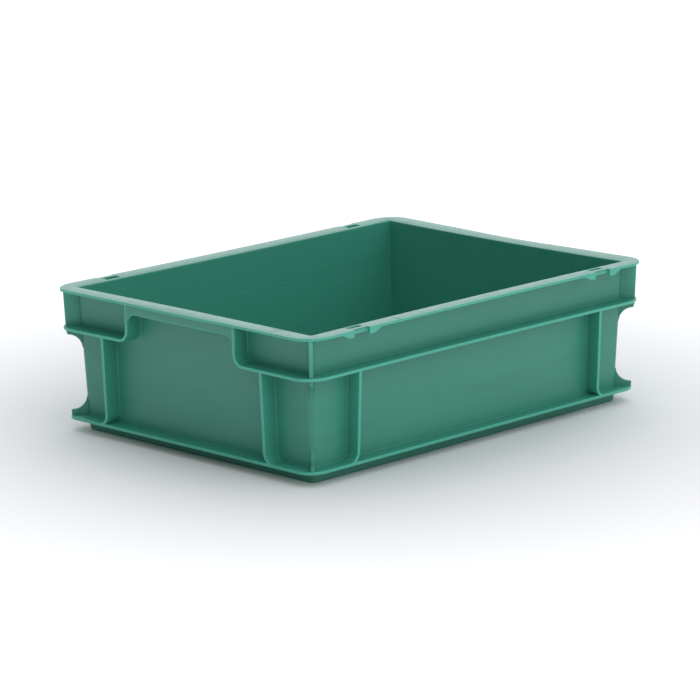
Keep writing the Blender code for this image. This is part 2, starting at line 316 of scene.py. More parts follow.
def sweep(name, loops, closed):
    """A closed skin over cross-sections, which are loops with the same number of points.
    A closed sweep joins its last section to its first; otherwise the ends are capped."""
    bm = bmesh.new()
    rows = [[bm.verts.new(point) for point in loop] for loop in loops]
    pairs = list(zip(rows, rows[1:]))
    if closed:
        pairs.append((rows[-1], rows[0]))
    else:
        bm.faces.new(rows[0])
        bm.faces.new(rows[-1][::-1])
    for one, two in pairs:
        for i in range(len(one)):
            j = (i + 1) % len(one)
            bm.faces.new((one[i], one[j], two[j], two[i]))
    return new_object(name, bm)


def prism(name, side, profile, front, back):
    """A plate whose (s, z) profile is carried in from the inset front(z) to back(z)."""
    loops = []
    for inset in (front, back):
        loops.append([turned(side, s, inset(z) - side.reach, z) for s, z in profile])
    return sweep(name, loops, closed=False)


def apply_modifiers(obj):
    graph = bpy.context.evaluated_depsgraph_get()
    mesh = bpy.data.meshes.new_from_object(obj.evaluated_get(graph))
    obj.modifiers.clear()
    old = obj.data
    obj.data = mesh
    bpy.data.meshes.remove(old)


def join(objects):
    """The first object, holding the meshes of them all."""
    bm = bmesh.new()
    for obj in objects:
        bm.from_mesh(obj.data)
    bm.to_mesh(objects[0].data)
    bm.free()
    for obj in objects[1:]:
        bpy.data.objects.remove(obj)
    return objects[0]


def combine(target, tools, operation):
    """Applies a Boolean of the tools to the target and removes them."""
    tool = join(tools)
    modifier = target.modifiers.new(operation.lower(), "BOOLEAN")
    modifier.operation = operation
    modifier.solver = "EXACT"
    modifier.object = tool
    apply_modifiers(target)
    bpy.data.objects.remove(tool)


def soften(obj, width, segments, chosen=None):
    """Rounds the sharp edges, or those of them whose middle is chosen."""
    bm = bmesh.new()
    bm.from_mesh(obj.data)
    layer = bm.edges.layers.float.get(BEVEL_WEIGHT) or bm.edges.layers.float.new(BEVEL_WEIGHT)
    for edge in bm.edges:
        sharp = edge.calc_face_angle(0) > SHARP
        middle = (edge.verts[0].co + edge.verts[1].co) / 2
        edge[layer] = float(sharp and (chosen is None or chosen(middle)))
    bm.to_mesh(obj.data)
    bm.free()
    modifier = obj.modifiers.new("softened edges", "BEVEL")
    modifier.width = width
    modifier.segments = segments
    modifier.limit_method = "WEIGHT"
    modifier.use_clamp_overlap = False
    modifier.miter_outer = "MITER_ARC"
    apply_modifiers(obj)


def even_normals(obj):
    """Lets the large faces set the shading, so that rounded edges stay crisp beside them."""
    modifier = obj.modifiers.new("weighted normals", "WEIGHTED_NORMAL")
    modifier.keep_sharp = True
    modifier.weight = LARGE_FACE_WEIGHT
    apply_modifiers(obj)


# Tub

def tub_section():
    """(inset, corner radius, z) down the outside and under the foot, and another such list
    from the floor up the inside."""
    outer = WALL_CORNER_RADIUS
    inner = INNER_CORNER_RADIUS
    foot = wall_inset(0.0)
    outside = []
    for i in range(WALL_STEPS + 1):
        z = blend(STUB_BOTTOM, FOOT_ROUNDING, i / WALL_STEPS)
        outside.append((wall_inset(z), outer, z))
    for inset, z in arc((foot + FOOT_ROUNDING, FOOT_ROUNDING), FOOT_ROUNDING, 180, 270)[1:]:
        outside.append((inset, outer, z))
    floor = wall_inset(FLOOR_TOP) + WALL_THICKNESS
    inside = []
    for inset, z in arc((floor + FLOOR_FILLET, FLOOR_TOP + FLOOR_FILLET), FLOOR_FILLET, 270, 180):
        inside.append((inset, inner, z))
    bottom = FLOOR_TOP + FLOOR_FILLET
    heights = [blend(bottom, STUB_BOTTOM, i / WALL_STEPS) for i in range(1, WALL_STEPS + 1)]
    heights += [MID_RIB_MIDDLE + share * SINK_HALF_WIDTH for share in SINK_SHARES]
    for z in sorted(heights):
        inside.append((wall_inset(z) + WALL_THICKNESS, inner, z))
    return outside, inside


def add_floor(outside, inside):
    """Runs the tub's section on under the foot ring and its hollow, and out over the floor."""
    ring = outside[-1][0] + FOOT_WIDTH
    outside.append((ring, DEEP_RADIUS, 0.0))
    outside.append((ring + HOLLOW_STEP, DEEP_RADIUS, HOLLOW_DEPTH))
    outside.append((ring + HOLLOW_BAND, DEEP_RADIUS, HOLLOW_DEPTH))
    inside.insert(0, (inside[0][0] + FLOOR_BAND, DEEP_RADIUS, FLOOR_TOP))


def sink_marks(side):
    """The s of a side's uprights, and of its grip's flanks where it has one, with the part of
    the wall that each mark is on."""
    marks = [(side.half + UPRIGHT_NEAR + UPRIGHT_THICKNESS / 2, "low")]
    if side.name in ("left", "right"):
        marks.append((GRIP_HALF_WIDTH + FLANK_THICKNESS / 2, "high"))
    return marks


def tub_stations():
    """The ring's stations, with more of them across each upright sink mark."""
    stations = []
    for side in SIDES:
        end = side.half - STRAIGHT_END
        places = [station.s for station in straight_stations(side, -end, end)]
        for mark, _ in sink_marks(side):
            for share in SINK_SHARES:
                places += [direction * mark + share * SINK_HALF_WIDTH for direction in (-1, 1)]
        stations += [Station(side, s, 0.0, 0.0, 1.0, None) for s in sorted(places)]
        stations += corner_stations(side)
    return stations


def dent(distance):
    """Depth of a sink mark, as a share, at a distance from its middle."""
    return max(0.0, 1 - (distance / SINK_HALF_WIDTH) ** 2) ** 2


def sink(station, z):
    """How far the inside of the wall is drawn outwards at a station and height."""
    side = station.side
    level = dent(z - MID_RIB_MIDDLE)
    if station.angle is not None:
        return SINK_DEPTH * level
    s = abs(station.s)
    if side.name in ("left", "right") and s < GRIP_HALF_WIDTH:
        level = 0.0
    depths = [level]
    for mark, part in sink_marks(side):
        if (part == "high") == (z > MID_RIB_MIDDLE) and z > LOW_RIB_TOP:
            depths.append(dent(s - mark))
    return SINK_DEPTH * max(depths)


def make_tub():
    """The walls and floor. The floor's underside is hollowed slightly within its foot ring."""
    stations = tub_stations()
    outside, inside = tub_section()
    add_floor(outside, inside)
    bm = bmesh.new()
    outer = [[bm.verts.new(place(st, i, r, z)) for i, r, z in outside] for st in stations]
    inner = [[bm.verts.new(place(st, i - sink(st, z), r, z)) for i, r, z in inside]
             for st in stations]
    count = len(stations)
    for rows in (outer, inner):
        for a in range(count):
            b = (a + 1) % count
            for i in range(len(rows[a]) - 1):
                bm.faces.new((rows[a][i], rows[a][i + 1], rows[b][i + 1], rows[b][i]))
    for a in range(count):
        b = (a + 1) % count
        bm.faces.new((outer[a][0], outer[b][0], inner[b][-1], inner[a][-1]))
    bm.faces.new([row[-1] for row in outer])
    bm.faces.new([row[0] for row in inner])
    return new_object("tub", bm)


# Rim and its lid-clip sockets

EAR_THICKNESS = 0.0024
EAR_FLAT_END = 0.0148
EAR_TAPER_END = 0.0222
EAR_ROOT = 0.001           # how far an ear runs on inside the lip, past its taper
EAR_TUCK = 0.0005          # how far an ear starts within the notch, which trims it
EAR_TOP = TOP - 0.001
NOTCH_HALF_WIDTH = 0.0086
NOTCH_DEPTH = 0.0025
WEB_BOTTOM = TOP - 0.0037
WEB_TOP = TOP - 0.0012
WEB_THICKNESS = 0.0025
WEB_TUCK = 0.0005          # how far the web starts in front of the notch's end, which trims it
WEB_OVERLAP = 0.0008       # how far it runs into the rim beside the notch
SLOT_HALF_LENGTH = 0.007
SLOT_WIDTH = 0.0058
SLOT_INSET = 0.0068
SLOT_ROUNDING = 0.0007
MOUTH_LEVEL = LIP_BOTTOM + 0.001
TICK_S = -0.098
TICK_WIDTH = 0.0007
TICK_DEPTH = 0.0006
TICK_REACH = 0.72          # of the rim's width
FINE_ROUNDING = 0.0002
FINE_STEPS = 2
SOFTENED_FROM = STUB_BOTTOM + 0.0005
OVERRUN = 0.002            # how far a cutter runs out past what it cuts


def rim_top(inset):
    """Height of the slightly crowned top of the rim."""
    return TOP - RIM_CURVE * (inset - RIM_CREST) ** 2


def rim_tilt(inset):
    """How steeply the rim's top falls towards the inside, in degrees."""
    return math.degrees(math.atan(2 * RIM_CURVE * (inset - RIM_CREST)))


def rim_section():
    """(inset, corner radius, z) from the lip's outer edge over the top and back beneath."""
    points = []
    edge = wall_inset(TOP) + WALL_THICKNESS
    zone_radius = RIM_CORNER_RADIUS - OUTER_ZONE

    def radius_at(inset):
        if inset < OUTER_ZONE:
            return RIM_CORNER_RADIUS - inset
        share = (inset - OUTER_ZONE) / (edge - OUTER_ZONE)
        return blend(zone_radius, INNER_CORNER_RADIUS, share)

    r = LIP_TOP_ROUNDING
    for inset, z in arc((r, rim_top(r) - r), r, 180, 90 - rim_tilt(r)):
        points.append((inset, radius_at(inset), z))
    for inset in RIM_TOP_INSETS:
        points.append((inset, radius_at(inset), rim_top(inset)))
    r = INNER_EDGE_ROUNDING
    start = edge - r
    round_off = arc((start, rim_top(start) - r), r, 90 - rim_tilt(start), 0, INNER_EDGE_STEPS)
    for inset, z in round_off[1:]:
        points.append((inset, radius_at(inset), z))
    inner = wall_inset(STUB_BOTTOM) + WALL_THICKNESS
    points.append((inner, INNER_CORNER_RADIUS, STUB_BOTTOM))
    points.append((wall_inset(STUB_BOTTOM), WALL_CORNER_RADIUS, STUB_BOTTOM))
    r = ROOT_FILLET
    root = wall_inset(LIP_BOTTOM)
    for inset, z in arc((root - r, LIP_BOTTOM - r), r, 0, 90):
        points.append((inset, WALL_CORNER_RADIUS + (root - inset) * ROOT_SPREAD, z))
    r = LIP_BOTTOM_ROUNDING
    for inset, z in arc((r, LIP_BOTTOM + r), r, 270, 180):
        points.append((inset, RIM_CORNER_RADIUS - inset, z))
    return points


def sockets():
    """Each clip socket's side, and the s of its middle."""
    return [(SIDE[name], s) for name in ("front", "back") for s in (-SOCKET_S, SOCKET_S)]


def ear(side, middle, direction):
    """The drop-down ear at one side of a socket's notch."""
    points = (
        (NOTCH_HALF_WIDTH - EAR_TUCK, EAR_TOP),
        (NOTCH_HALF_WIDTH - EAR_TUCK, EAR_BOTTOM),
        (EAR_FLAT_END, EAR_BOTTOM),
        (EAR_TAPER_END, LIP_BOTTOM),
        (EAR_TAPER_END + EAR_ROOT, LIP_BOTTOM + LIP_BOTTOM_ROUNDING),
        (EAR_TAPER_END + EAR_ROOT, EAR_TOP),
    )
    profile = [(middle + direction * s, z) for s, z in points]
    return prism("ear", side, profile, level_face(0.0), level_face(EAR_THICKNESS))


def block(side, s_low, s_high, inset_low, inset_high, bottom, top):
    profile = [(s_low, bottom), (s_high, bottom), (s_high, top), (s_low, top)]
    return prism("block", side, profile, level_face(inset_low), level_face(inset_high))


def web(side, middle):
    """The bar behind the notch, which hangs a little below the lip."""
    half = NOTCH_HALF_WIDTH + WEB_OVERLAP
    return block(side, middle - half, middle + half, NOTCH_DEPTH - WEB_TUCK,
                 NOTCH_DEPTH + WEB_THICKNESS, WEB_BOTTOM, WEB_TOP)


def notch(side, middle):
    return block(side, middle - NOTCH_HALF_WIDTH, middle + NOTCH_HALF_WIDTH, -OVERRUN,
                 NOTCH_DEPTH, EAR_BOTTOM - OVERRUN, TOP + OVERRUN)


def slot(side, middle):
    return block(side, middle - SLOT_HALF_LENGTH, middle + SLOT_HALF_LENGTH, SLOT_INSET,
                 SLOT_INSET + SLOT_WIDTH, LIP_BOTTOM - OVERRUN, TOP + OVERRUN)


def tick_groove(side):
    """A fine line across the top of the rim, where two mould inserts meet."""
    half = TICK_WIDTH / 2
    return block(side, TICK_S - half, TICK_S + half, -OVERRUN, RIM_WIDTH * TICK_REACH,
                 TOP - TICK_DEPTH, TOP + OVERRUN)


def in_slot_mouth(point):
    """Whether a point lies on the upper edge of one of the slots."""
    inset = WIDTH / 2 - abs(point.y)
    across = SLOT_INSET - CLOSE < inset < SLOT_INSET + SLOT_WIDTH + CLOSE
    beside = abs(abs(point.x) - SOCKET_S) < SLOT_HALF_LENGTH + CLOSE
    return across and beside and point.z > MOUTH_LEVEL


def clear_of_tick(point):
    """Whether a point lies above the rim's foot and away from the fine groove."""
    in_tick = point.y < 0 and abs(point.x - TICK_S) < TICK_WIDTH
    return point.z > SOFTENED_FROM and not in_tick


def make_rim():
    section = rim_section()
    loops = [[place(st, i, r, z) for i, r, z in section] for st in ring_stations()]
    rim = sweep("rim", loops, closed=True)
    places = sockets()
    combine(rim, [slot(*p) for p in places], "DIFFERENCE")
    soften(rim, SLOT_ROUNDING, ROUNDING_STEPS, in_slot_mouth)
    combine(rim, [web(*p) for p in places], "UNION")
    combine(rim, [ear(*p, direction) for p in places for direction in (-1, 1)], "UNION")
    cutters = [notch(*p) for p in places] + [tick_groove(SIDE["front"])]
    combine(rim, cutters, "DIFFERENCE")
    soften(rim, FINE_ROUNDING, FINE_STEPS, clear_of_tick)
    return rim


# Ribs

def rib_section(half, root=ROOT_FILLET):
    """(what the depth is measured from, depth, thickness) round a rib's cross-section."""
    r, steps = RIB_EDGE_ROUNDING, RIB_ARC_STEPS
    points = [("face", d, t) for d, t in arc((r, r - half), r, 270, 180, steps)]
    points += [("face", d, t) for d, t in arc((r, half - r), r, 180, 90, steps)]
    points += [("wall", d, t) for d, t in arc((-root, half + root), root, 270, 360, steps)]
    points += [("wall", EMBED, half + root), ("wall", EMBED, -half - root)]
    points += [("wall", d, t) for d, t in arc((-root, -half - root), root, 0, 90, steps)]
    return points


def rib_loop(station, section, face):
    """A rib's cross-section at a station, between its edge at face(z) and the wall."""
    loop = []
    for base, depth, t in section:
        z = station.z + station.along_z * t
        inset = depth + (face(z) if base == "face" else wall_inset(z))
        moved = station._replace(s=station.s + station.along_s * t)
        loop.append(place(moved, inset, rib_radius(inset, face(z), wall_inset(z)), z))
    return loop


def make_low_rib():
    section = rib_section((LOW_RIB_TOP - LOW_RIB_BOTTOM) / 2)
    stations = [station._replace(z=LOW_RIB_MIDDLE) for station in ring_stations()]
    face = level_face(LOW_RIB_INSET)
    return sweep("low_rib", [rib_loop(st, section, face) for st in stations], closed=True)


def flank_stations(side, direction):
    """From inside the rim down a grip's flank and round its bend, on the s > 0 end of a side
    for direction 1 and on the s < 0 end for -1."""
    flank_s = BEND_START - FLANK_BEND_RADIUS - FLANK_THICKNESS / 2
    bend = MID_RIB_TOP + FLANK_BEND_RADIUS
    stations = []
    for i in range(FLANK_STEPS):
        z = blend(LIP_BOTTOM + INTO_LIP, bend, i / FLANK_STEPS)
        stations.append(Station(side, direction * flank_s, z, direction, 0.0, None))
    radius = bend - MID_RIB_MIDDLE
    for i in range(BEND_STEPS + 1):
        angle = math.radians(90 * i / BEND_STEPS)
        s = BEND_START - (BEND_START - flank_s) * math.cos(angle)
        z = bend - radius * math.sin(angle)
        along_s, along_z = direction * math.cos(angle), math.sin(angle)
        stations.append(Station(side, direction * s, z, along_s, along_z, None))
    return stations


def make_mid_rib(side):
    """The rib below the rim's band, along a long side, round both corners and up to the rim
    beside the hand grips."""
    middle = MID_RIB_MIDDLE
    first, last = SIDE[side.before], SIDE[side.after]
    stations = flank_stations(first, 1)
    end = first.half - STRAIGHT_END
    stations += straight_stations(first, BEND_START, end, middle)[1:]
    stations += corner_stations(first, middle)
    end = side.half - STRAIGHT_END
    stations += straight_stations(side, -end, end, middle)
    stations += corner_stations(side, middle)
    end = last.half - STRAIGHT_END
    stations += straight_stations(last, -end, -BEND_START, middle)[:-1]
    stations += flank_stations(last, -1)[::-1]
    section = rib_section((MID_RIB_TOP - MID_RIB_BOTTOM) / 2)
    loops = [rib_loop(station, section, grip_face) for station in stations]
    return sweep(f"mid_rib_{side.name}", loops, closed=False)


def make_upright(side, direction):
    """An upright rib between the low and the mid rib, its foot swept towards the corner."""
    middle = side.half + UPRIGHT_NEAR + UPRIGHT_THICKNESS / 2
    radius = UPRIGHT_FOOT_RADIUS + UPRIGHT_THICKNESS / 2
    turn_z = LOW_RIB_TOP + UPRIGHT_FOOT_RADIUS
    thick = UPRIGHT_THICKNESS / 2
    thin = (LOW_RIB_TOP - LOW_RIB_BOTTOM) / 2 - UPRIGHT_TUCK
    loops = []
    for i in range(UPRIGHT_STEPS):
        z = blend(MID_RIB_MIDDLE, turn_z, i / UPRIGHT_STEPS)
        station = Station(side, direction * middle, z, direction, 0.0, None)
        loops.append(rib_loop(station, rib_section(thick), upright_face))
    for i in range(BEND_STEPS + 1):
        share = i / BEND_STEPS
        angle = math.radians(90 * share)
        s = middle + radius * (1 - math.cos(angle))
        z = turn_z - blend(radius, radius - (thick - thin) / 2, share) * math.sin(angle)
        station = Station(side, direction * s, z, direction * math.cos(angle),
                          math.sin(angle), None)
        root = ROOT_FILLET * blend(1, FOOT_ROOT_SHARE, share)
        section = rib_section(blend(thick, thin, share), root)
        loops.append(rib_loop(station, section, upright_face))
    end = side.after if direction > 0 else side.before
    return sweep(f"upright_rib_{side.name}_{end}", loops, closed=False)


# Hand grips

def make_skirt(side):
    """The plate that the fingers hook behind. Its ends lie over the flanks' front edges."""
    top = LIP_BOTTOM + SKIRT_INTO_LIP
    outer = GRIP_HALF_WIDTH + FLANK_THICKNESS
    bottom = SKIRT_BOTTOM
    centre = (GRIP_HALF_WIDTH - SKIRT_FILLET, bottom - SKIRT_FILLET)
    right = arc(centre, SKIRT_FILLET, 90, 0, FILLET_STEPS)
    left = [(-s, z) for s, z in right[::-1]]
    shares = [i / SKIRT_STEPS for i in range(1, SKIRT_STEPS)]
    middle = [(blend(-right[0][0], right[0][0], share), bottom) for share in shares]
    foot = right[-1][1]
    edge = [(-outer, foot)] + left + middle + right + [(outer, foot)]
    loops = []
    for s, z in edge:
        band = z + SKIRT_EDGE_BAND
        corners = ((z, -SKIRT_PROUD), (band, -SKIRT_PROUD), (top, -SKIRT_PROUD),
                   (top, SKIRT_THICKNESS), (band, SKIRT_THICKNESS), (z, SKIRT_THICKNESS))
        points = [turned(side, s, grip_face(h) + depth - side.reach, h) for h, depth in corners]
        loops.append(points)
    skirt = sweep(f"grip_skirt_{side.name}", loops, closed=False)
    soften(skirt, SKIRT_ROUNDING, ROUNDING_STEPS)
    return skirt


# Corner plates

CORNER_PLATES = ("corner_rib", "upper_gusset", "lower_gusset")
CORNER_TURNS = {"front_left": 225, "front_right": 315, "back_right": 45, "back_left": 135}
GUSSET_RADIUS = 0.0118
LOWER_GUSSET_TOP = 0.029
LOWER_GUSSET_TIP = 0.0037
UPPER_GUSSET_BOTTOM = 0.0683
UPPER_GUSSET_TIP = 0.0045
UPPER_GUSSET_SLANT = 0.0025
CORNER_RIB_INSET_BOTTOM = 0.0038
BLUNTING = 4               # degrees by which a gusset's curve stops short of the wall


def diagonal(inset, radius):
    """Depth along the corner's diagonal of a rounded outline at that inset."""
    return math.sqrt(2) * inset + (math.sqrt(2) - 1) * radius


def edge_depth(inset):
    return diagonal(inset, RIM_CORNER_RADIUS - inset)


def wall_depth(z):
    """Depth on the diagonal of the wall's outer face."""
    return diagonal(wall_inset(z), WALL_CORNER_RADIUS)


def corner_plate(name, corner, profile):
    """A plate on the corner's diagonal, with a profile of (depth in from the corner, z)."""
    half = CORNER_PLATE_THICKNESS / 2
    x = LENGTH / 2 if "right" in corner else -LENGTH / 2
    y = WIDTH / 2 if "back" in corner else -WIDTH / 2
    turn = math.radians(CORNER_TURNS[corner])
    along = Vector((math.cos(turn), math.sin(turn), 0))
    across = Vector((-math.sin(turn), math.cos(turn), 0))
    shift = CORNER_PLATE_SHIFT if across.x * x < 0 else -CORNER_PLATE_SHIFT
    loops = []
    for offset in (shift - half, shift + half):
        start = Vector((x, y, 0)) + across * offset
        loops.append([start - along * depth + Vector((0, 0, z)) for depth, z in profile])
    plate = sweep(f"{name}_{corner}", loops, closed=False)
    soften(plate, RIB_EDGE_ROUNDING, ROUNDING_STEPS)
    return plate


def make_corner_rib(corner):
    """The plate between the mid rib and the rim."""
    low, high = MID_RIB_TOP - EMBED, LIP_BOTTOM + INTO_LIP
    profile = [
        (edge_depth(CORNER_RIB_INSET_BOTTOM), low),
        (edge_depth(MID_RIB_INSET), high),
        (wall_depth(high) + EMBED, high),
        (wall_depth(low) + EMBED, low),
    ]
    return corner_plate("corner_rib", corner, profile)


def make_upper_gusset(corner):
    """The hollow-faced bracket under the mid rib."""
    top = MID_RIB_BOTTOM
    tip = edge_depth(MID_RIB_INSET)
    inner = wall_depth(UPPER_GUSSET_BOTTOM)
    profile = [(wall_depth(top) + EMBED, top + EMBED), (tip + EMBED, top + EMBED)]
    profile += [(tip + UPPER_GUSSET_SLANT, top - UPPER_GUSSET_TIP)]
    centre = (inner - GUSSET_RADIUS, UPPER_GUSSET_BOTTOM)
    profile += arc(centre, GUSSET_RADIUS, 90, BLUNTING, FILLET_STEPS)
    profile += [(inner + EMBED, UPPER_GUSSET_BOTTOM)]
    return corner_plate("upper_gusset", corner, profile)


def make_lower_gusset(corner):
    """The hollow-faced bracket that stands on the low rib."""
    bottom = LOW_RIB_TOP
    tip = edge_depth(LOW_RIB_INSET)
    inner = wall_depth(LOWER_GUSSET_TOP)
    profile = [(wall_depth(bottom) + EMBED, bottom - EMBED), (tip + EMBED / 2, bottom - EMBED)]
    profile += [(tip + EMBED / 4, bottom + LOWER_GUSSET_TIP)]
    centre = (inner - GUSSET_RADIUS, LOWER_GUSSET_TOP)
    profile += arc(centre, GUSSET_RADIUS, 270, 360 - BLUNTING, FILLET_STEPS)
    profile += [(inner + EMBED, LOWER_GUSSET_TOP)]
    return corner_plate("lower_gusset", corner, profile)


# Where a point is, the painted light that it gets for that, and how far it is moved

EDGE_DEPTH = 0.0010         # how far in from a thin edge its painted light reaches
RIB_EDGE_START = 1.15       # the painted light's strength at such an edge, before it is held to 1
SKIRT_EDGE_START = 1.2
SKIRT_END_DEPTH = 0.0005
EAR_SHARE = 0.45            # of that painted light, on the thicker ears of the sockets
SLOT_SHARE = 0.5            # and within the slots
PAINTED_LIGHT_IN_WALLS = 0.24  # and, as painted light through the plastic, on the inside of the walls
WEB_END_MARGIN = 0.0012     # how far the painted light of the web and the slots reaches past them
WEB_FACE_MARGIN = 0.0003
WEB_TOP_MARGIN = 0.0004
SLOT_END_MARGIN = 0.0001
SLOT_TOP_MARGIN = 0.0006


def outline_inset(x, y):
    """Distance in from the rim's rounded outline, for arrays of x and y."""
    r = RIM_CORNER_RADIUS
    qx = np.abs(x) - (LENGTH / 2 - r)
    qy = np.abs(y) - (WIDTH / 2 - r)
    outside = np.hypot(np.maximum(qx, 0), np.maximum(qy, 0))
    inside = np.minimum(np.maximum(qx, qy), 0)
    return r - outside - inside


def coordinates(mesh):
    flat = np.zeros(len(mesh.vertices) * 3)
    mesh.vertices.foreach_get("co", flat)
    return flat.reshape(-1, 3)


def move_to(mesh, points):
    mesh.vertices.foreach_set("co", points.ravel())
    mesh.update()


def skirt_edge(s):
    """Height of a grip skirt's lower edge, for an array of s."""
    beyond = np.clip(np.abs(s) - (GRIP_HALF_WIDTH - SKIRT_FILLET), 0, SKIRT_FILLET)
    return SKIRT_BOTTOM - SKIRT_FILLET + np.sqrt(SKIRT_FILLET ** 2 - beyond ** 2)


def socket_painted_light(points):
    """Painted light through the thin plastic: 1 on the web behind each notch, SLOT_SHARE part way
    down the slots, and 0 elsewhere.
    """
    x, y, z = np.abs(points[:, 0]), np.abs(points[:, 1]), points[:, 2]
    inset = WIDTH / 2 - y
    beside = np.abs(x - SOCKET_S)
    on_web = beside < NOTCH_HALF_WIDTH + WEB_END_MARGIN
    on_web &= inset < NOTCH_DEPTH + WEB_FACE_MARGIN
    on_web &= z < TOP - WEB_TOP_MARGIN
    in_slot = beside < SLOT_HALF_LENGTH + SLOT_END_MARGIN
    in_slot &= (inset > SLOT_INSET - CLOSE) & (inset < SLOT_INSET + SLOT_WIDTH + CLOSE)
    in_slot &= z < TOP - SLOT_TOP_MARGIN
    return np.where(on_web, 1.0, np.where(in_slot, SLOT_SHARE, 0.0))


def within_walls(points):
    """Whether each point lies on the inside of the tub or the rim."""
    x, y, z = np.abs(points[:, 0]), np.abs(points[:, 1]), points[:, 2]
    inset = np.minimum(LENGTH / 2 - x, WIDTH / 2 - y)
    return (inset > wall_inset(z) + WALL_THICKNESS - CLOSE) & (z > FLOOR_TOP / 2)


def edge_painted_light(points, face):
    """How near each point is to a rib's or lip's thin front edge, which lies at face(z), as the
    share of painted light there.
    """
    inset = outline_inset(points[:, 0], points[:, 1])
    front = np.array([face(z) for z in points[:, 2]])
    return np.clip(RIB_EDGE_START - (inset - front) / EDGE_DEPTH, 0, 1)


def skirt_painted_light(points):
    """How near each point is to a grip skirt's lower edge or to its ends, as the share of painted
    light there.
    """
    ends = (np.abs(points[:, 1]) - GRIP_HALF_WIDTH) / SKIRT_END_DEPTH
    above = (points[:, 2] - skirt_edge(points[:, 1])) / EDGE_DEPTH
    return np.clip(np.maximum(ends, SKIRT_EDGE_START - above), 0, 1)


def mark_painted_light(obj, face):
    """Stores the painted light at each point, from 0 to 1, which stands for light coming through the
    plastic. A grip skirt has no face."""
    points = coordinates(obj.data)
    share = edge_painted_light(points, face) if face else skirt_painted_light(points)
    if own_node(obj) in ("tub", "rim"):
        share = np.maximum(share, PAINTED_LIGHT_IN_WALLS * within_walls(points))
    if own_node(obj) == "rim":
        share *= np.where(points[:, 2] < LIP_BOTTOM - CLOSE, EAR_SHARE, 1.0)
        share = np.maximum(share, socket_painted_light(points))
    # The painted light is kept on each point, for the materials
    attribute = obj.data.attributes.new("thin_edge", "FLOAT", "POINT")
    attribute.data.foreach_set("value", share.astype(np.float32))


def shift_share(inset):
    """0 at the ribs' fronts, 1 at the wall, and 0 again further in."""
    rise = np.clip((inset - SHIFT_START) / SHIFT_RISE, 0, 1)
    fall = np.clip((SHIFT_END - inset) / SHIFT_FALL, 0, 1)
    return rise * fall


def shift_walls(obj):
    """Moves the short walls in and the long ones out a little, with what joins them."""
    points = coordinates(obj.data)
    x, y = points[:, 0].copy(), points[:, 1].copy()
    points[:, 0] -= np.sign(x) * SHORT_WALL_SHIFT * shift_share(LENGTH / 2 - np.abs(x))
    points[:, 1] -= np.sign(y) * LONG_WALL_SHIFT * shift_share(WIDTH / 2 - np.abs(y))
    move_to(obj.data, points)


def shrink(obj):
    """Draws the middle of each side in and its rim down, and leaves the corners alone."""
    points = coordinates(obj.data)
    x, y, z = points[:, 0], points[:, 1], points[:, 2]
    reach_x, reach_y = LENGTH / 2, WIDTH / 2
    along_x = np.clip(1 - (x / (reach_x - RIM_CORNER_RADIUS)) ** 2, 0, 1)
    along_y = np.clip(1 - (y / (reach_y - RIM_CORNER_RADIUS)) ** 2, 0, 1)
    near_x = np.clip((np.abs(x) / reach_x - BOW_START) * BOW_RISE, 0, 1) ** 2
    near_y = np.clip((np.abs(y) / reach_y - BOW_START) * BOW_RISE, 0, 1) ** 2
    height = np.clip(z / TOP, 0, 1)
    upper = np.clip((z - SAG_BOTTOM) / SAG_HEIGHT, 0, 1)
    over_grip = np.clip(1 - (y / CROWN_HALF_LENGTH) ** 2, 0, 1) ** 2
    over_grip *= np.abs(x) > reach_x - CROWN_REACH
    crown = CROWN_DROP * over_grip * np.clip(1 - outline_inset(x, y) / CROWN_WIDTH, 0, 1) ** 2
    sag = SAG_SHORT * along_y * near_x + SAG_LONG * along_x * near_y
    moved = points.copy()
    moved[:, 0] -= np.sign(x) * BOW_SHORT * along_y * near_x * height
    moved[:, 1] -= np.sign(y) * BOW_LONG * along_x * near_y * height
    moved[:, 2] -= (sag + crown) * upper
    move_to(obj.data, moved)


# Materials

BASE_GREEN = (0.0446, 0.280, 0.197)
# The green of painted light, where light comes through thin plastic
PAINTED_LIGHT_GREEN = (0.068, 0.440, 0.318)
# Each slot's material: its name, how light its green is, and its roughness. The rim's lighter
# green is painted light, and the grips' darker green painted shade.
PAINTS = {
    "tub": ("tub_green", 1.0, 0.42),
    "rim": ("rim_green", 1.04, 0.36),
    "ribs": ("rib_green", 1.0, 0.40),
    "grips": ("grip_green", 0.97, 0.40),
}
PLASTIC_IOR = 1.49
NOISE_RANGE = (0.3, 0.7)         # what a noise texture mostly stays within
FLOW_STRETCH = (9, 9, 60)        # how fast the flow streaks change along each axis
FLOW_CONTRAST = 0.035
RUB_STRETCH = (18, 18, 900)
RUB_RANGE = (0.66, 0.74)
RUB_PATCH_SCALE = 22
RUB_PATCH_RANGE = (0.52, 0.66)
RUB_WHITE = 0.32                 # the grey that rub marks are half way to
RUB_COLOUR_SHARE = 0.30
RUB_ROUGHNESS = 0.15
# Painted shade low on the foot, under the low rib's overhang
FOOT_SHADE = (0.012, 0.026, 0.020)
FOOT_SHADE_RANGE = (0.006, 0.0105)     # heights over which the painted shade on the foot ends
FOOT_SHADE_SHARE = 0.28
SCUFF_SCALE = 160
SCUFF_SMOOTHER = 0.03
SCUFF_ROUGHER = 0.04
GRAIN_SCALE = 2600
GRAIN_STRENGTH = 0.25
GRAIN_HEIGHT = 0.00005
NODE_SPACING = 200


def add_node(tree, kind, **settings):
    node = tree.nodes.new(kind)
    node.location.x = NODE_SPACING * len(tree.nodes)
    for key, value in settings.items():
        setattr(node, key, value)
    return node


def noise(tree, vector, scale, detail):
    node = add_node(tree, "ShaderNodeTexNoise")
    node.inputs["Scale"].default_value = scale
    node.inputs["Detail"].default_value = detail
    tree.links.new(vector, node.inputs["Vector"])
    return node.outputs["Fac"]


